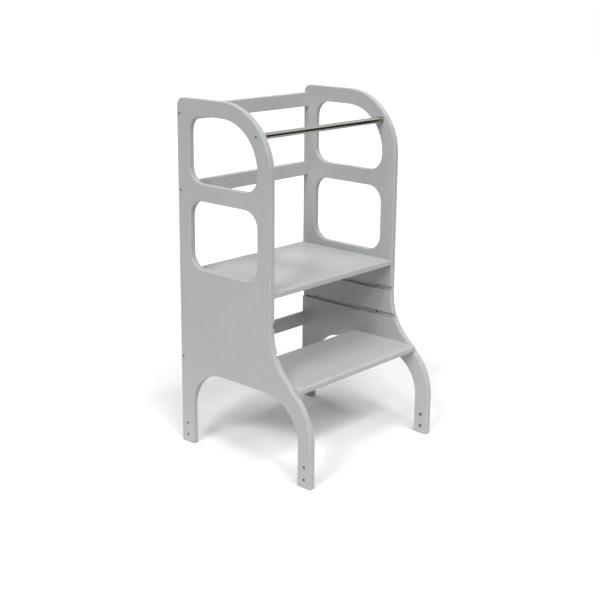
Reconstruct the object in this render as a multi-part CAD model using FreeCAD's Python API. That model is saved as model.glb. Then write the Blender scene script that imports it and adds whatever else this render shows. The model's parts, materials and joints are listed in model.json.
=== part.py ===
import FreeCAD, Part
import math
import os

os.makedirs("parts", exist_ok=True)

V = FreeCAD.Vector

# ---------------------------------------------------------------------------
# Driving sizes of the kitchen helper stool, in millimetres.
# X runs across the stool, Y runs from the front (minus) to the back (plus),
# Z runs up from the floor.  "setback" is measured forward from the back edge.
# ---------------------------------------------------------------------------

# overall
panel_height = 900.0
inner_width = 450.0
panel_thickness = 16.0
foot_depth = 450.0
upper_depth = 317.0

# side panel outline
leg_width = 42.0
foot_corner_radius = 5.0
foot_corner_sides = 4
arch_top = 210.5
arch_radius = 106.0
sweep_top = 304.5
sweep_radius = 150.0
top_front_radius = 160.0
top_back_radius = 20.0
panel_edge_ease = 1.2

# windows in the side panels
post_width = 43.0
top_rim = 40.0
window_high_height = 166.5
bar_height = 42.0
window_sill = 17.0
window_radius = 42.0

# back rails
rail_height = 37.0
rail_thickness = panel_thickness
rail_over_arch = 6.0
rail_over_low_window = 0.5
rail_below_top = 21.0
rail_edge_ease = 1.2

# standing platform and its three grooves on each side
platform_thickness = 13.0
platform_bottom = 446.5
platform_edge_ease = 0.8
groove_depth = 6.0
groove_pitch = 73.5
groove_count = 3
groove_under_gap = 0.05
groove_over_gap = 0.55
platform_side_gap = 0.75
catch_inset = 50.0
catch_socket_radius = 2.75
catch_socket_depth = 4.0

# spring ball catch in the platform's ends
catch_length = 12.0
catch_outer_radius = 4.0
catch_bore_radius = 3.0
catch_mouth_radius = 2.62
catch_mouth_length = 0.6
catch_ball_radius = 2.9
catch_ball_stand_out = 0.4
ball_rings = 5
ball_sides = 12
ball_cap_share = 0.08
catch_spring_start = 4.5
catch_spring_radius = 2.8
catch_spring_wire = 0.6
catch_floor = 1.0

# step board
step_thickness = 16.0
step_over_arch = 13.5
step_depth = 205.0
step_from_foot_front = 49.0
step_housing_depth = 5.0
step_nose_radius = 7.0
step_lower_radius = 2.0

# steel rod across the top front
rod_radius = 8.0
rod_from_front = 47.0
rod_below_top = 72.0
rod_socket_depth = 4.0
rod_end_chamfer = 0.6
rod_thread_radius = 3.0
rod_thread_depth = 22.0

# fixings
screw_head_radius = 4.0
screw_head_height = 3.0
screw_sink = 0.8
screw_shank_radius = 2.5
rail_screw_length = 50.0
rod_screw_length = 25.0
hex_key_flats = 4.0
hex_key_depth = 2.2
dowel_radius = 4.0
dowel_length = 30.0
dowel_in_panel = 8.0
rail_dowel_drop = 11.0
step_dowel_inset = 54.0
seat_gap = 0.05

# how far a cutter runs past the face it starts from
cut_over = 1.0

# flats around small turned and moulded pieces, and around the holes they sit in
fluted_sides = 12
turned_sides = 20

# threaded bushes for stabiliser feet, two in each leg
bush_first_height = 21.5
bush_spacing = 32.0
bush_bore_radius = 3.0
bush_body_radius = 4.5
bush_length = 12.0
bush_flange_radius = 5.2
bush_flange_thickness = 1.5
bush_outer_hole_radius = 3.5

# values that follow from the sizes above
back_y = foot_depth / 2.0
inner_x = inner_width / 2.0
outer_x = inner_x + panel_thickness
groove_height = platform_thickness + groove_under_gap + groove_over_gap
platform_half = inner_x + groove_depth - platform_side_gap
platform_top = platform_bottom + platform_thickness
window_high_top = panel_height - top_rim
window_high_bottom = window_high_top - window_high_height
window_low_top = window_high_bottom - bar_height
window_low_bottom = platform_top + window_sill
rail_low_bottom = arch_top + rail_over_arch
rail_mid_bottom = window_low_top + rail_over_low_window
rail_top_bottom = panel_height - rail_below_top - rail_height
rail_bottoms = [rail_low_bottom, rail_mid_bottom, rail_top_bottom]
step_bottom = arch_top + step_over_arch
step_front = foot_depth - step_from_foot_front
step_back = step_front - step_depth
rod_setback = upper_depth - rod_from_front
rod_height = panel_height - rod_below_top
rail_names = ["lower", "middle", "top"]
groove_floors = []
for index in range(groove_count):
    groove_floors.append(platform_bottom - groove_under_gap - index * groove_pitch)
catch_setbacks = [catch_inset, upper_depth - catch_inset]
step_dowel_setbacks = [step_back + step_dowel_inset, step_front - step_dowel_inset]


def at(x, setback, z):
    return V(x, back_y - setback, z)


def flats_between(start, end, centre, sides):
    """Straight edges with their corners on the arc from start to end about centre."""
    first = start - centre
    last = end - centre
    angle = first.getAngle(last)
    points = []
    for k in range(sides + 1):
        share = float(k) / sides
        from_first = math.sin((1.0 - share) * angle) / math.sin(angle)
        from_last = math.sin(share * angle) / math.sin(angle)
        points.append(centre + first * from_first + last * from_last)
    return [Part.makeLine(points[k], points[k + 1]) for k in range(sides)]


def rounded_loop(corners, x):
    """Closed wire in the plane X = x from (setback, height, radius) corners.

    A radius of nought leaves the corner sharp.  Corners no larger than the feet's
    are made of flats.
    """
    count = len(corners)
    starts = []
    ends = []
    mids = []
    centres = []
    for i in range(count):
        before = corners[i - 1]
        here = corners[i]
        after = corners[(i + 1) % count]
        ax = before[0] - here[0]
        az = before[1] - here[1]
        bx = after[0] - here[0]
        bz = after[1] - here[1]
        la = math.hypot(ax, az)
        lb = math.hypot(bx, bz)
        ax, az, bx, bz = ax / la, az / la, bx / lb, bz / lb
        half = math.acos(ax * bx + az * bz) / 2.0
        radius = here[2]
        reach = radius / math.tan(half)
        sx, sz = ax + bx, az + bz
        sl = math.hypot(sx, sz)
        middle_out = radius / math.sin(half)
        out = middle_out - radius
        starts.append(at(x, here[0] + ax * reach, here[1] + az * reach))
        ends.append(at(x, here[0] + bx * reach, here[1] + bz * reach))
        mids.append(at(x, here[0] + sx / sl * out, here[1] + sz / sl * out))
        centres.append(at(x, here[0] + sx / sl * middle_out, here[1] + sz / sl * middle_out))
    edges = []
    for i in range(count):
        radius = corners[i][2]
        if radius > foot_corner_radius:
            edges.append(Part.Arc(starts[i], mids[i], ends[i]).toShape())
        elif radius > 0.0:
            edges.extend(flats_between(starts[i], ends[i], centres[i], foot_corner_sides))
        nxt = starts[(i + 1) % count]
        if ends[i].distanceToPoint(nxt) > 1e-6:
            edges.append(Part.makeLine(ends[i], nxt))
    return Part.Wire(edges)


def plate(corners, x0, thickness):
    return Part.Face(rounded_loop(corners, x0)).extrude(V(thickness, 0, 0))


def block(x0, x1, setback0, setback1, z0, z1):
    corner = V(min(x0, x1), back_y - max(setback0, setback1), min(z0, z1))
    size = (abs(x1 - x0), abs(setback1 - setback0), abs(z1 - z0))
    return Part.makeBox(size[0], size[1], size[2], corner)


def bar(x0, x1, setback, z, radius):
    """Round bar along X."""
    return Part.makeCylinder(radius, abs(x1 - x0), at(min(x0, x1), setback, z), V(1, 0, 0))


def prism(x0, x1, setback, z, corner_radius, sides):
    """Bar along X with flat sides and its corners on corner_radius."""
    start_x = min(x0, x1)
    points = []
    for k in range(sides + 1):
        angle = 2.0 * math.pi * k / sides
        points.append(at(start_x, setback + corner_radius * math.cos(angle),
                         z + corner_radius * math.sin(angle)))
    return Part.Face(Part.makePolygon(points)).extrude(V(abs(x1 - x0), 0, 0))


def pocket(x0, x1, setback, z, flat_radius, sides):
    """Cutter along X whose flats lie on flat_radius, so a round bar of that radius fits."""
    return prism(x0, x1, setback, z, flat_radius / math.cos(math.pi / sides), sides)


def edges_where(shape, test):
    return [e for e in shape.Edges if test(e)]


def on_plane_x(edge, x):
    box = edge.BoundBox
    return abs(box.XMin - x) < 1e-4 and abs(box.XMax - x) < 1e-4


def other_side(shape):
    return shape.mirror(V(0, 0, 0), V(1, 0, 0))


def one_solid(shape):
    clean = shape.removeSplitter()
    if clean.ShapeType == "Compound" and len(clean.Solids) == 1:
        clean = clean.Solids[0]
    return clean


def save(name, shape):
    if not shape.isValid():
        raise RuntimeError("invalid shape: " + name)
    shape.exportStep(os.path.join("parts", name + ".step"))
    print(name, len(shape.Solids), round(shape.Volume, 1))


def side_panel(side):
    """Side panel with its outer face at side * outer_x."""
    front_leg_back = foot_depth - leg_width
    outline = [
        (0.0, 0.0, foot_corner_radius),
        (leg_width, 0.0, foot_corner_radius),
        (leg_width, arch_top, arch_radius),
        (front_leg_back, arch_top, arch_radius),
        (front_leg_back, 0.0, foot_corner_radius),
        (foot_depth, 0.0, foot_corner_radius),
        (foot_depth, sweep_top - (foot_depth - upper_depth), sweep_radius),
        (upper_depth, sweep_top, sweep_radius),
        (upper_depth, panel_height, top_front_radius),
        (0.0, panel_height, top_back_radius),
    ]
    window_front = upper_depth - post_width
    low_window = [
        (post_width, window_low_bottom, window_radius),
        (window_front, window_low_bottom, window_radius),
        (window_front, window_low_top, window_radius),
        (post_width, window_low_top, window_radius),
    ]
    high_window = [
        (post_width, window_high_bottom, window_radius),
        (window_front, window_high_bottom, window_radius),
        (window_front, window_high_top, top_front_radius - post_width),
        (post_width, window_high_top, window_radius),
    ]
    start_x = min(side * inner_x, side * outer_x)
    body = plate(outline, start_x, panel_thickness)
    body = body.cut(plate(low_window, start_x, panel_thickness))
    body = body.cut(plate(high_window, start_x, panel_thickness))
    rims = edges_where(body, lambda e: on_plane_x(e, side * outer_x) or on_plane_x(e, side * inner_x))
    body = body.makeChamfer(panel_edge_ease, rims)

    # distances from the stool's middle, before the side's sign is applied
    proud = inner_x - cut_over
    outside = outer_x + cut_over
    head_seat = outer_x - screw_sink - screw_head_height
    groove_wall = inner_x + groove_depth
    housing_wall = inner_x + step_housing_depth
    cuts = []
    # grooves for the platform, open at the front and back edges
    for floor in groove_floors:
        cuts.append(block(side * groove_wall, side * proud, -cut_over, foot_depth,
                          floor, floor + groove_height))
        middle = floor + groove_height / 2.0
        for setback in catch_setbacks:
            cuts.append(pocket(side * (groove_wall + catch_socket_depth), side * proud, setback,
                               middle, catch_socket_radius, fluted_sides))
    # housing for the step board, open at the front edge
    cuts.append(block(side * housing_wall, side * proud, step_back, foot_depth,
                      step_bottom, step_bottom + step_thickness))
    step_middle = step_bottom + step_thickness / 2.0
    for setback in step_dowel_setbacks:
        cuts.append(pocket(side * (housing_wall + dowel_in_panel), side * proud, setback,
                           step_middle, dowel_radius + seat_gap, fluted_sides))
    # back rail screw and dowel holes
    rail_middle = rail_thickness / 2.0
    for bottom in rail_bottoms:
        z = bottom + rail_height / 2.0
        cuts.append(pocket(side * outside, side * proud, rail_middle, z,
                           screw_shank_radius + seat_gap, fluted_sides))
        cuts.append(pocket(side * outside, side * head_seat, rail_middle, z,
                           screw_head_radius + seat_gap, turned_sides))
        cuts.append(pocket(side * (inner_x + dowel_in_panel), side * proud, rail_middle,
                           z - rail_dowel_drop, dowel_radius + seat_gap, fluted_sides))
    # socket and screw hole for the steel rod
    cuts.append(pocket(side * (inner_x + rod_socket_depth), side * proud, rod_setback, rod_height,
                       rod_radius + seat_gap, turned_sides))
    cuts.append(pocket(side * outside, side * proud, rod_setback, rod_height,
                       rod_thread_radius + seat_gap, fluted_sides))
    cuts.append(pocket(side * outside, side * head_seat, rod_setback, rod_height,
                       screw_head_radius + seat_gap, turned_sides))
    # stepped holes for the threaded bushes in both legs
    for setback in (leg_width / 2.0, foot_depth - leg_width / 2.0):
        for k in range(2):
            z = bush_first_height + k * bush_spacing
            cuts.append(pocket(side * outside, side * proud, setback, z, bush_outer_hole_radius,
                               fluted_sides))
            cuts.append(pocket(side * (inner_x + bush_length), side * proud, setback, z,
                               bush_body_radius + seat_gap, fluted_sides))
            cuts.append(pocket(side * (inner_x + bush_flange_thickness), side * proud, setback, z,
                               bush_flange_radius + seat_gap, turned_sides))
    for cut in cuts:
        body = body.cut(cut)
    return one_solid(body)


def back_rail(bottom):
    rail = block(-inner_x, inner_x, 0.0, rail_thickness, bottom, bottom + rail_height)
    long_edges = edges_where(rail, lambda e: abs(e.BoundBox.XLength - inner_width) < 1e-4)
    rail = rail.makeChamfer(rail_edge_ease, long_edges)
    middle = rail_thickness / 2.0
    z = bottom + rail_height / 2.0
    screw_reach = screw_sink + rail_screw_length - panel_thickness
    dowel_reach = dowel_length - dowel_in_panel
    for sign in (-1.0, 1.0):
        x_end = sign * inner_x
        inside = x_end - sign * (screw_reach + cut_over)
        rail = rail.cut(pocket(x_end, inside, middle, z, screw_shank_radius + seat_gap, fluted_sides))
        inside = x_end - sign * (dowel_reach + seat_gap)
        rail = rail.cut(pocket(x_end, inside, middle, z - rail_dowel_drop,
                               dowel_radius + seat_gap, fluted_sides))
    return one_solid(rail)


def screw(setback, z, length, shank_radius):
    """Screw in the left panel: sunk head with a hexagon key socket, plain shank."""
    x0 = -outer_x + screw_sink
    body = prism(x0, x0 + screw_head_height, setback, z, screw_head_radius, turned_sides)
    body = body.fuse(prism(x0, x0 + length, setback, z, shank_radius, fluted_sides))
    socket_corner = hex_key_flats / math.sqrt(3.0)
    return one_solid(body.cut(prism(x0 - cut_over, x0 + hex_key_depth, setback, z, socket_corner, 6)))


def dowel(start_x, setback, z):
    """Fluted dowel along X that begins at start_x and is dowel_length long."""
    return prism(start_x, start_x + dowel_length, setback, z, dowel_radius, fluted_sides)


def threaded_bush(setback, z):
    body = prism(-inner_x - bush_length, -inner_x, setback, z, bush_body_radius, fluted_sides)
    flange = prism(-inner_x - bush_flange_thickness, -inner_x, setback, z, bush_flange_radius,
                   turned_sides)
    body = body.fuse(flange)
    body = body.cut(bar(-inner_x - bush_length - cut_over, -inner_x + cut_over, setback, z,
                        bush_bore_radius))
    return one_solid(body)


def front_rod():
    half = inner_x + rod_socket_depth
    body = bar(-half, half, rod_setback, rod_height, rod_radius)
    rims = edges_where(body, lambda e: on_plane_x(e, -half) or on_plane_x(e, half))
    body = body.makeChamfer(rod_end_chamfer, rims)
    for sign in (-1.0, 1.0):
        near = sign * half
        far = sign * (half - rod_thread_depth)
        body = body.cut(pocket(near, far, rod_setback, rod_height, rod_thread_radius + seat_gap,
                               fluted_sides))
    return one_solid(body)


def step_board():
    """Step with a rounded nose along its front; its ends sit in the panel housings."""
    half = inner_x + step_housing_depth
    top = step_bottom + step_thickness
    middle = step_bottom + step_thickness / 2.0
    profile = [
        (step_back, step_bottom, 0.0),
        (step_front, step_bottom, step_lower_radius),
        (step_front, top, step_nose_radius),
        (step_back, top, 0.0),
    ]
    body = plate(profile, -half, 2.0 * half)
    for setback in step_dowel_setbacks:
        reach = dowel_length - dowel_in_panel + seat_gap
        for sign in (-1.0, 1.0):
            body = body.cut(pocket(sign * half, sign * (half - reach), setback,
                                   middle, dowel_radius + seat_gap, fluted_sides))
    return one_solid(body)


def platform_board():
    body = block(-platform_half, platform_half, 0.0, upper_depth, platform_bottom,
                 platform_bottom + platform_thickness)
    long_edges = edges_where(body, lambda e: abs(e.BoundBox.XLength - 2.0 * platform_half) < 1e-4)
    body = body.makeChamfer(platform_edge_ease, long_edges)
    z = platform_bottom + platform_thickness / 2.0
    for setback in catch_setbacks:
        reach = catch_length + seat_gap
        for sign in (-1.0, 1.0):
            body = body.cut(pocket(sign * platform_half, sign * (platform_half - reach), setback, z,
                                   catch_outer_radius + seat_gap, turned_sides))
    return one_solid(body)


def catch_sleeve(setback):
    z = platform_bottom + platform_thickness / 2.0
    x0 = -platform_half
    floor_x = x0 + catch_length - catch_floor
    body = prism(x0, x0 + catch_length, setback, z, catch_outer_radius, turned_sides)
    body = body.cut(pocket(x0 - cut_over, floor_x, setback, z, catch_mouth_radius, fluted_sides))
    body = body.cut(pocket(x0 + catch_mouth_length, floor_x, setback, z, catch_bore_radius,
                           fluted_sides))
    return one_solid(body)


def catch_ball(setback):
    """Faceted ball: rings of flats stacked along X and joined by a loft."""
    z = platform_bottom + platform_thickness / 2.0
    centre = -platform_half - catch_ball_stand_out + catch_ball_radius
    rings = []
    for k in range(ball_rings + 1):
        angle = math.pi * (ball_cap_share + (1.0 - 2.0 * ball_cap_share) * k / ball_rings)
        x = centre - catch_ball_radius * math.cos(angle)
        reach = catch_ball_radius * math.sin(angle)
        points = []
        for i in range(ball_sides + 1):
            turn = 2.0 * math.pi * i / ball_sides
            points.append(at(x, setback + reach * math.cos(turn), z + reach * math.sin(turn)))
        rings.append(Part.makePolygon(points))
    return Part.makeLoft(rings, True, True)


def catch_spring(setback):
    """Closed coil behind the ball, as a thin tube."""
    z = platform_bottom + platform_thickness / 2.0
    x0 = -platform_half + catch_spring_start
    x1 = -platform_half + catch_length - catch_floor
    body = prism(x0, x1, setback, z, catch_spring_radius, fluted_sides)
    inside = catch_spring_radius - catch_spring_wire
    return one_solid(body.cut(prism(x0, x1, setback, z, inside, fluted_sides)))


# side panels
save("side_panel_left", side_panel(-1.0))
save("side_panel_right", side_panel(1.0))

# back rails with one screw and one dowel at each end
rail_middle_setback = rail_thickness / 2.0
left_rail_dowels = []
for name, bottom in zip(rail_names, rail_bottoms):
    save("back_rail_" + name, back_rail(bottom))
    z_mid = bottom + rail_height / 2.0
    left_screw = screw(rail_middle_setback, z_mid, rail_screw_length, screw_shank_radius)
    save("rail_screw_" + name + "_left", left_screw)
    save("rail_screw_" + name + "_right", other_side(left_screw))
    left_rail_dowels.append(dowel(-inner_x - dowel_in_panel, rail_middle_setback,
                                  z_mid - rail_dowel_drop))
rail_dowel_group = Part.makeCompound(left_rail_dowels)
save("rail_dowels_left", rail_dowel_group)
save("rail_dowels_right", other_side(rail_dowel_group))

# steel rod and its two screws
save("front_rod", front_rod())
left_rod_screw = screw(rod_setback, rod_height, rod_screw_length, rod_thread_radius)
save("rod_screw_left", left_rod_screw)
save("rod_screw_right", other_side(left_rod_screw))

# step board and its dowels
save("step_board", step_board())
step_dowel_group = Part.makeCompound([
    dowel(-inner_x - step_housing_depth - dowel_in_panel, setback,
          step_bottom + step_thickness / 2.0)
    for setback in step_dowel_setbacks])
save("step_dowels_left", step_dowel_group)
save("step_dowels_right", other_side(step_dowel_group))

# threaded bushes in the legs
for leg, setback in (("rear", leg_width / 2.0), ("front", foot_depth - leg_width / 2.0)):
    pair = Part.makeCompound([
        threaded_bush(setback, bush_first_height + k * bush_spacing) for k in range(2)])
    save("leg_bushes_" + leg + "_left", pair)
    save("leg_bushes_" + leg + "_right", other_side(pair))

# platform with its spring ball catches
save("platform", platform_board())
for label, maker in (("sleeves", catch_sleeve), ("balls", catch_ball), ("springs", catch_spring)):
    group = Part.makeCompound([maker(setback) for setback in catch_setbacks])
    save("catch_" + label + "_left", group)
    save("catch_" + label + "_right", other_side(group))
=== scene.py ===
import json
import math

import bpy
from mathutils import Matrix, Vector


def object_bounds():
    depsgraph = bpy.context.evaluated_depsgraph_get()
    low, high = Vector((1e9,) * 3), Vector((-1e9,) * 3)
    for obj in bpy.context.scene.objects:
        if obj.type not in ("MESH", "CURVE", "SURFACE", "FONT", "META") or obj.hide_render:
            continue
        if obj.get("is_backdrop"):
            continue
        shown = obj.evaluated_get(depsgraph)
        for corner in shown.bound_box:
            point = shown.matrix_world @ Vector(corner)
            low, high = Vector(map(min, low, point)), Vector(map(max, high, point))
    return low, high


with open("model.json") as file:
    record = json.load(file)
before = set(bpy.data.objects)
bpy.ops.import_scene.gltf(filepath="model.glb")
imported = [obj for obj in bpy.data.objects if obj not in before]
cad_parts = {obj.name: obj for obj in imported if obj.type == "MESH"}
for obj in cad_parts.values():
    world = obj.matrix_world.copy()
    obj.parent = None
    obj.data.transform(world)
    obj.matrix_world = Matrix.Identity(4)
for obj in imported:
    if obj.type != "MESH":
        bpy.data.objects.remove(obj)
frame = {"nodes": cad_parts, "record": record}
cad_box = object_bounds()
nodes = frame["nodes"]


# ---------------------------------------------------------------------------
# Camera
# ---------------------------------------------------------------------------

# Lengths in metres, angles in radians, FRAME_PIXELS and the next two in pixels, SENSOR in mm.
FRAME_PIXELS = 600.0
FOCAL_PIXELS = 1135.4
CENTRE_ROW = 270.0
SENSOR = 36.0
CAMERA_PLACE = (-2.1024, -1.8701, 1.1984)
CAMERA_TURN = math.radians(47.867)
CAMERA_DIP = math.radians(14.74)
CAMERA_ROLL = math.radians(0.505)
NEAREST = 0.05
FARTHEST = 60.0


def make_camera():
    ahead = Vector((math.sin(CAMERA_TURN), math.cos(CAMERA_TURN), 0.0))
    right = Vector((math.cos(CAMERA_TURN), -math.sin(CAMERA_TURN), 0.0))
    up = Vector((0.0, 0.0, 1.0))
    dipped_ahead = math.cos(CAMERA_DIP) * ahead - math.sin(CAMERA_DIP) * up
    dipped_up = math.sin(CAMERA_DIP) * ahead + math.cos(CAMERA_DIP) * up
    x_axis = math.cos(CAMERA_ROLL) * right + math.sin(CAMERA_ROLL) * dipped_up
    y_axis = -math.sin(CAMERA_ROLL) * right + math.cos(CAMERA_ROLL) * dipped_up
    z_axis = -dipped_ahead
    turn = Matrix((x_axis, y_axis, z_axis)).transposed().to_4x4()
    data = bpy.data.cameras.new("camera")
    data.sensor_fit = "HORIZONTAL"
    data.sensor_width = SENSOR
    data.lens = FOCAL_PIXELS / FRAME_PIXELS * SENSOR
    data.shift_y = (CENTRE_ROW - FRAME_PIXELS / 2.0) / FRAME_PIXELS
    data.clip_start = NEAREST
    data.clip_end = FARTHEST
    camera = bpy.data.objects.new("camera", data)
    camera.matrix_world = Matrix.Translation(CAMERA_PLACE) @ turn
    bpy.context.scene.collection.objects.link(camera)
    bpy.context.scene.camera = camera


# ---------------------------------------------------------------------------
# Node helpers
# ---------------------------------------------------------------------------

# Sockets of the colour mix node.
MIX_FACTOR = 0
MIX_FIRST = 6
MIX_SECOND = 7
MIX_RESULT = 2


class Tree:
    """Short calls for building a shader node tree."""

    def __init__(self, name):
        self.material = bpy.data.materials.new(name)
        self.material.use_nodes = True
        self.nodes = self.material.node_tree.nodes
        self.links = self.material.node_tree.links
        self.nodes.clear()
        self.output = self.nodes.new("ShaderNodeOutputMaterial")

    def add(self, kind, values=None, **settings):
        node = self.nodes.new(kind)
        for key, value in settings.items():
            setattr(node, key, value)
        for key, value in (values or {}).items():
            node.inputs[key].default_value = value
        return node

    def link(self, source, target):
        self.links.new(source, target)

    def place(self):
        return self.add("ShaderNodeTexCoord").outputs["Object"]

    def stretch(self, source, scale):
        node = self.add("ShaderNodeMapping", {"Scale": scale})
        self.link(source, node.inputs["Vector"])
        return node.outputs["Vector"]

    def noise(self, source, scale, detail=3.0, rough=0.55, warp=0.0):
        node = self.add("ShaderNodeTexNoise", {
            "Scale": scale, "Detail": detail, "Roughness": rough, "Distortion": warp})
        self.link(source, node.inputs["Vector"])
        return node.outputs["Fac"]

    def ramp(self, source, stops):
        node = self.add("ShaderNodeValToRGB")
        band = node.color_ramp
        while len(band.elements) < len(stops):
            band.elements.new(0.5)
        for element, (position, colour) in zip(band.elements, stops):
            element.position = position
            element.color = (*colour, 1.0)
        self.link(source, node.inputs["Fac"])
        return node.outputs["Color"]

    def span(self, source, low, high, from_low=0.0, from_high=1.0):
        node = self.add("ShaderNodeMapRange", {
            "From Min": from_low, "From Max": from_high, "To Min": low, "To Max": high})
        self.link(source, node.inputs["Value"])
        return node.outputs["Result"]

    def mix(self, factor, first, second, blend="MIX"):
        node = self.add("ShaderNodeMix", data_type="RGBA", blend_type=blend)
        for index, value in ((MIX_FACTOR, factor), (MIX_FIRST, first), (MIX_SECOND, second)):
            socket = node.inputs[index]
            if hasattr(value, "links"):
                self.link(value, socket)
            elif isinstance(value, float):
                socket.default_value = value
            else:
                socket.default_value = (*value, 1.0)
        return node.outputs[MIX_RESULT]

    def bump(self, height, strength, distance, below=None):
        node = self.add("ShaderNodeBump", {"Strength": strength, "Distance": distance})
        self.link(height, node.inputs["Height"])
        if below is not None:
            self.link(below, node.inputs["Normal"])
        return node.outputs["Normal"]

    def edge_mask(self, radius):
        """About 1 on edges, within radius of them, and 0 on flat ground."""
        soft = self.add("ShaderNodeBevel", {"Radius": radius}, samples=4)
        plain = self.add("ShaderNodeNewGeometry")
        dot = self.add("ShaderNodeVectorMath", operation="DOT_PRODUCT")
        self.link(soft.outputs["Normal"], dot.inputs[0])
        self.link(plain.outputs["True Normal"], dot.inputs[1])
        return self.span(dot.outputs["Value"], 1.0, 0.0, 0.80, 0.995)

    def painted_nook_shade_mask(self, reach):
        """1 on open ground, falling to 0 in a piece's own nooks narrower than reach; towards 0
        shade is painted in.
        """
        node = self.add(
            "ShaderNodeAmbientOcclusion", {"Distance": reach}, samples=8, only_local=True)
        return self.span(node.outputs["AO"], 0.0, 1.0, 0.12, 0.60)

    def surface(self, **values):
        shader = self.add("ShaderNodeBsdfPrincipled")
        for key, value in values.items():
            socket = shader.inputs[key.replace("_", " ")]
            if hasattr(value, "links"):
                self.link(value, socket)
            elif isinstance(value, tuple):
                socket.default_value = (*value, 1.0)
            else:
                socket.default_value = value
        self.link(shader.outputs["BSDF"], self.output.inputs["Surface"])
        return self.material


def grey(level):
    return (level, level, level)


# ---------------------------------------------------------------------------
# Materials
# ---------------------------------------------------------------------------

# Lighter edges: the edge reach and colour give partly rubbed wear and partly painted highlight.
EDGE_WEAR_AND_HIGHLIGHT_REACH = 0.0022
NOOK_SHADE_REACH = 0.012
EDGE_WEAR_AND_HIGHLIGHT_COLOUR = (0.56, 0.56, 0.55)
# Painted shade: dark colour mixed into each piece's own nooks narrower than the nook reach, such
# as grooves and sockets.
PAINTED_NOOK_SHADE = (0.075, 0.066, 0.055)


def grey_lacquer():
    """Satin grey lacquer, with lighter edges that are partly rubbed wear and partly painted
    highlight, and painted shade deep in grooves and sockets.
    """
    t = Tree("grey_lacquer")
    place = t.place()
    cloud = t.noise(place, 3.2, 2.0, 0.5)
    mottle = t.noise(place, 38.0, 3.0, 0.6)
    base = t.ramp(cloud, [(0.30, (0.447, 0.454, 0.456)), (0.70, (0.473, 0.480, 0.482))])
    speck = t.ramp(mottle, [(0.35, grey(0.972)), (0.65, grey(1.0))])
    colour = t.mix(1.0, base, speck, "MULTIPLY")
    # Lighter edge colour in patches: partly rubbed wear, partly painted highlight along the edges.
    edge_patches = t.noise(place, 90.0, 4.0, 0.65)
    edge = t.edge_mask(EDGE_WEAR_AND_HIGHLIGHT_REACH)
    wear_and_highlight = t.mix(t.span(edge_patches, 0.0, 1.0, 0.42, 0.62), grey(0.0), edge)
    colour = t.mix(wear_and_highlight, colour, EDGE_WEAR_AND_HIGHLIGHT_COLOUR)
    # Painted shade: darkens the lacquer in its own grooves and sockets.
    colour = t.mix(t.painted_nook_shade_mask(NOOK_SHADE_REACH), PAINTED_NOOK_SHADE, colour)
    rough = t.span(mottle, 0.40, 0.52, 0.3, 0.7)
    peel = t.noise(place, 620.0, 2.0, 0.5)
    wave = t.noise(place, 24.0, 1.0, 0.5)
    normal = t.bump(wave, 0.10, 0.0012)
    normal = t.bump(peel, 0.16, 0.00018, normal)
    return t.surface(Base_Color=colour, Roughness=rough, Normal=normal, IOR=1.46,
                     Specular_IOR_Level=0.22, Coat_Weight=0.04, Coat_Roughness=0.30)


def darker(colour, share):
    return tuple(share * part for part in colour)


def drawn_steel():
    """Drawn steel: fine lines along X and faint stains."""
    base = (0.42, 0.40, 0.375)
    t = Tree("steel_rod")
    place = t.place()
    lines = t.noise(t.stretch(place, (30.0, 1500.0, 1500.0)), 1.0, 5.0, 0.7)
    stain = t.noise(place, 45.0, 3.0, 0.6)
    tone = t.ramp(lines, [(0.30, darker(base, 0.86)), (0.72, base)])
    colour = t.mix(t.span(stain, 0.0, 0.25, 0.45, 0.75), tone, darker(base, 0.80))
    rough = t.span(lines, 0.16, 0.26, 0.3, 0.7)
    normal = t.bump(lines, 0.12, 0.0001)
    return t.surface(Base_Color=colour, Metallic=1.0, Roughness=rough, Normal=normal)


def plated_steel(name, base, roughness):
    """Plated steel with a fine mottled spangle and duller patches."""
    t = Tree(name)
    place = t.place()
    spangle = t.noise(place, 700.0, 3.0, 0.6)
    dull = t.noise(place, 160.0, 2.0, 0.5)
    tone = t.ramp(spangle, [(0.35, darker(base, 0.82)), (0.68, base)])
    colour = t.mix(t.span(dull, 0.0, 0.3, 0.5, 0.8), tone, darker(base, 0.7))
    rough = t.span(dull, roughness - 0.06, roughness + 0.08, 0.3, 0.7)
    normal = t.bump(spangle, 0.10, 0.00008)
    return t.surface(Base_Color=colour, Metallic=1.0, Roughness=rough, Normal=normal)


def beech_wood():
    """Raw beech: pale pink-brown with short dark flecks along X."""
    t = Tree("beech")
    place = t.place()
    grain = t.noise(t.stretch(place, (60.0, 900.0, 900.0)), 1.0, 4.0, 0.6)
    flecks = t.noise(t.stretch(place, (260.0, 1900.0, 1900.0)), 1.0, 2.0, 0.5)
    tone = t.ramp(grain, [(0.30, (0.47, 0.29, 0.16)), (0.70, (0.63, 0.43, 0.26))])
    mark = t.span(flecks, 0.0, 0.6, 0.60, 0.72)
    colour = t.mix(mark, tone, (0.28, 0.15, 0.08))
    rough = t.span(grain, 0.55, 0.72, 0.3, 0.7)
    normal = t.bump(grain, 0.25, 0.0002)
    return t.surface(Base_Color=colour, Roughness=rough, Normal=normal)


def turned_brass():
    """Turned brass with tool rings and a little tarnish."""
    t = Tree("catch_brass")
    place = t.place()
    rings = t.noise(t.stretch(place, (2600.0, 40.0, 40.0)), 1.0, 2.0, 0.5)
    tarnish = t.noise(place, 260.0, 3.0, 0.6)
    tone = t.ramp(rings, [(0.30, (0.62, 0.42, 0.15)), (0.70, (0.78, 0.57, 0.25))])
    colour = t.mix(t.span(tarnish, 0.0, 0.4, 0.5, 0.8), tone, (0.36, 0.24, 0.10))
    rough = t.span(rings, 0.22, 0.36, 0.3, 0.7)
    normal = t.bump(rings, 0.2, 0.00005)
    return t.surface(Base_Color=colour, Metallic=1.0, Roughness=rough, Normal=normal)


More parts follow.
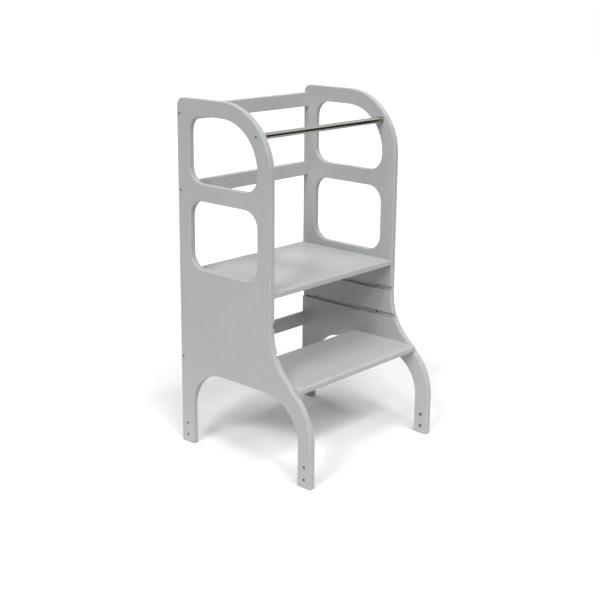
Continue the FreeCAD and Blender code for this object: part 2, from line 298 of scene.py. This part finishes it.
def polished_steel():
    """Hardened ball and spring steel, polished, with faint wear marks."""
    t = Tree("catch_steel")
    place = t.place()
    marks = t.noise(place, 900.0, 2.0, 0.5)
    haze = t.noise(place, 210.0, 3.0, 0.6)
    tone = t.ramp(marks, [(0.35, grey(0.58)), (0.70, grey(0.70))])
    colour = t.mix(t.span(haze, 0.0, 0.2, 0.5, 0.8), tone, grey(0.48))
    rough = t.span(haze, 0.08, 0.18, 0.3, 0.7)
    normal = t.bump(marks, 0.05, 0.00004)
    return t.surface(Base_Color=colour, Metallic=1.0, Roughness=rough, Normal=normal)


def dress_nodes():
    makers = {
        "grey_lacquer": grey_lacquer(),
        "steel_rod": drawn_steel(),
        "fixing_steel": plated_steel("fixing_steel", (0.30, 0.36, 0.37), 0.42),
        "bush_steel": plated_steel("bush_steel", (0.42, 0.42, 0.41), 0.38),
        "beech": beech_wood(),
        "catch_brass": turned_brass(),
        "catch_steel": polished_steel(),
    }
    slots = {}
    for piece in frame["record"]["subparts"]:
        slots[piece["node"]] = piece["material_slot"]
    for name, piece in nodes.items():
        piece.data.materials.clear()
        piece.data.materials.append(makers[slots[name]])


# ---------------------------------------------------------------------------
# Softened edges
# ---------------------------------------------------------------------------

EASED = 0.00035
WELD_REACH = 0.000002
SHARP_FROM = math.radians(32.0)
BOARDS = (
    "side_panel_left",
    "side_panel_right",
    "back_rail_top",
    "back_rail_middle",
    "back_rail_lower",
    "step_board",
    "platform",
)


def soften(piece):
    """Small rounding on a board's edges, with even shading over its faces."""
    weld = piece.modifiers.new("weld", "WELD")
    weld.merge_threshold = WELD_REACH
    bevel = piece.modifiers.new("bevel", "BEVEL")
    bevel.width = EASED
    bevel.segments = 2
    bevel.limit_method = "ANGLE"
    bevel.angle_limit = SHARP_FROM
    bevel.use_clamp_overlap = True
    bevel.harden_normals = False
    even = piece.modifiers.new("even", "WEIGHTED_NORMAL")
    even.mode = "FACE_AREA"
    even.weight = 80
    even.keep_sharp = False


def soften_edges():
    for name in BOARDS:
        soften(nodes[name])


# ---------------------------------------------------------------------------
# Floor, light and background
# ---------------------------------------------------------------------------

FLOOR_HALF = 14.0
THROWN_NEAR = (0.87, 0.845, 0.805)
THROWN_FAR = (0.42, 0.41, 0.39)
NEAR_RADIUS = 0.7
FAR_RADIUS = 2.3

FLAG_CENTRE = Vector((1.10, -1.05, 0.0))
FLAG_ALONG = Vector((0.69, 0.72, 0.0)) * 0.85
FLAG_TOP = Vector((0.0, 0.0, 1.36))


def make_sheet(name, corners, material):
    """One flat four-sided stage sheet."""
    mesh = bpy.data.meshes.new(name)
    mesh.from_pydata([tuple(corner) for corner in corners], [], [(0, 1, 2, 3)])
    sheet = bpy.data.objects.new(name, mesh)
    bpy.context.scene.collection.objects.link(sheet)
    mesh.materials.append(material)
    return sheet


def floor_white():
    """White to the camera, and a plain tone for the light that the floor throws back."""
    t = Tree("floor_white")
    path = t.add("ShaderNodeLightPath")
    far = t.add("ShaderNodeVectorMath", operation="LENGTH")
    t.link(t.place(), far.inputs[0])
    beyond = t.span(far.outputs["Value"], 0.0, 1.0, NEAR_RADIUS, FAR_RADIUS)
    thrown = t.mix(beyond, THROWN_NEAR, THROWN_FAR)
    thrown = t.mix(path.outputs["Is Glossy Ray"], thrown, grey(0.70))
    tint = t.mix(path.outputs["Is Camera Ray"], thrown, grey(0.97))
    matt = t.add("ShaderNodeBsdfDiffuse")
    t.link(tint, matt.inputs["Color"])
    t.link(matt.outputs["BSDF"], t.output.inputs["Surface"])
    return t.material


def flag_black():
    t = Tree("flag_black")
    matt = t.add("ShaderNodeBsdfDiffuse", {"Color": (0.02, 0.02, 0.02, 1.0)})
    t.link(matt.outputs["BSDF"], t.output.inputs["Surface"])
    return t.material


def make_floor():
    half = FLOOR_HALF
    corners = [(-half, -half, 0.0), (half, -half, 0.0), (half, half, 0.0), (-half, half, 0.0)]
    floor = make_sheet("floor", corners, floor_white())
    floor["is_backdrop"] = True


def make_flag():
    """Dark card at the front right, seen only in reflections."""
    left_foot = FLAG_CENTRE - FLAG_ALONG
    right_foot = FLAG_CENTRE + FLAG_ALONG
    corners = [left_foot, right_foot, right_foot + FLAG_TOP, left_foot + FLAG_TOP]
    flag = make_sheet("flag", corners, flag_black())
    flag.visible_camera = False
    flag.visible_diffuse = False
    flag.visible_transmission = False
    flag.visible_shadow = False
    flag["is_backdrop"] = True


def make_world():
    """White to camera, glossy and transmission rays, and nearly dark to all others."""
    world = bpy.data.worlds.new("studio")
    bpy.context.scene.world = world
    world.use_nodes = True
    tree = world.node_tree
    tree.nodes.clear()
    output = tree.nodes.new("ShaderNodeOutputWorld")
    path = tree.nodes.new("ShaderNodeLightPath")
    room = tree.nodes.new("ShaderNodeBackground")
    room.inputs["Color"].default_value = (0.99, 0.995, 1.0, 1.0)
    room.inputs["Strength"].default_value = 0.01
    white = tree.nodes.new("ShaderNodeBackground")
    white.inputs["Color"].default_value = (1.0, 1.0, 1.0, 1.0)
    white.inputs["Strength"].default_value = 1.0
    first = tree.nodes.new("ShaderNodeMath")
    first.operation = "MAXIMUM"
    second = tree.nodes.new("ShaderNodeMath")
    second.operation = "MAXIMUM"
    mix = tree.nodes.new("ShaderNodeMixShader")
    tree.links.new(path.outputs["Is Camera Ray"], first.inputs[0])
    tree.links.new(path.outputs["Is Glossy Ray"], first.inputs[1])
    tree.links.new(first.outputs[0], second.inputs[0])
    tree.links.new(path.outputs["Is Transmission Ray"], second.inputs[1])
    tree.links.new(second.outputs[0], mix.inputs[0])
    tree.links.new(room.outputs[0], mix.inputs[1])
    tree.links.new(white.outputs[0], mix.inputs[2])
    tree.links.new(mix.outputs[0], output.inputs["Surface"])


LAMP_COLOUR = (0.98, 0.994, 1.0)
SUNS = (
    ("front_high", 0.0, 54.0, 11.0, 0.17),
    ("front_low", 15.0, 42.0, 11.0, 0.17),
    ("key_high", 30.0, 54.0, 11.0, 0.21),
    ("key_low", 45.0, 42.0, 11.0, 0.20),
    ("left_front", 75.0, 42.0, 11.0, 0.28),
    ("left", 90.0, 42.0, 11.0, 0.16),
    ("top", 60.0, 80.0, 24.0, 0.13),
    ("back", 180.0, 60.0, 28.0, 0.17),
    ("right", 270.0, 20.0, 28.0, 0.28),
)


def make_sun(name, side, height, spread, level):
    """Even soft light from a side, counted from the front towards the left, and a height.

    Angles are in degrees. level is the share of white it gives a white face square to it.
    """
    side = math.radians(side)
    height = math.radians(height)
    level_part = math.cos(height)
    towards = Vector((level_part * math.sin(side), level_part * math.cos(side), -math.sin(height)))
    data = bpy.data.lights.new(name, "SUN")
    data.energy = level * math.pi
    data.angle = math.radians(spread)
    data.color = LAMP_COLOUR
    lamp = bpy.data.objects.new(name, data)
    lamp.rotation_mode = "QUATERNION"
    lamp.rotation_quaternion = towards.to_track_quat("-Z", "Y")
    bpy.context.scene.collection.objects.link(lamp)


def make_lights():
    for name, side, height, spread, level in SUNS:
        make_sun(name, side, height, spread, level)


# ---------------------------------------------------------------------------
# The scene
# ---------------------------------------------------------------------------

make_camera()
make_floor()
make_flag()
make_world()
make_lights()
dress_nodes()
soften_edges()

scene = bpy.context.scene
scene.view_settings.view_transform = "Standard"

bpy.context.view_layer.update()
shown_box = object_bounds()


def plain(value):
    if hasattr(value, "__len__"):
        return [plain(v) for v in value]
    return float(value)


{"cad": plain(cad_box), "shown": plain(shown_box)}
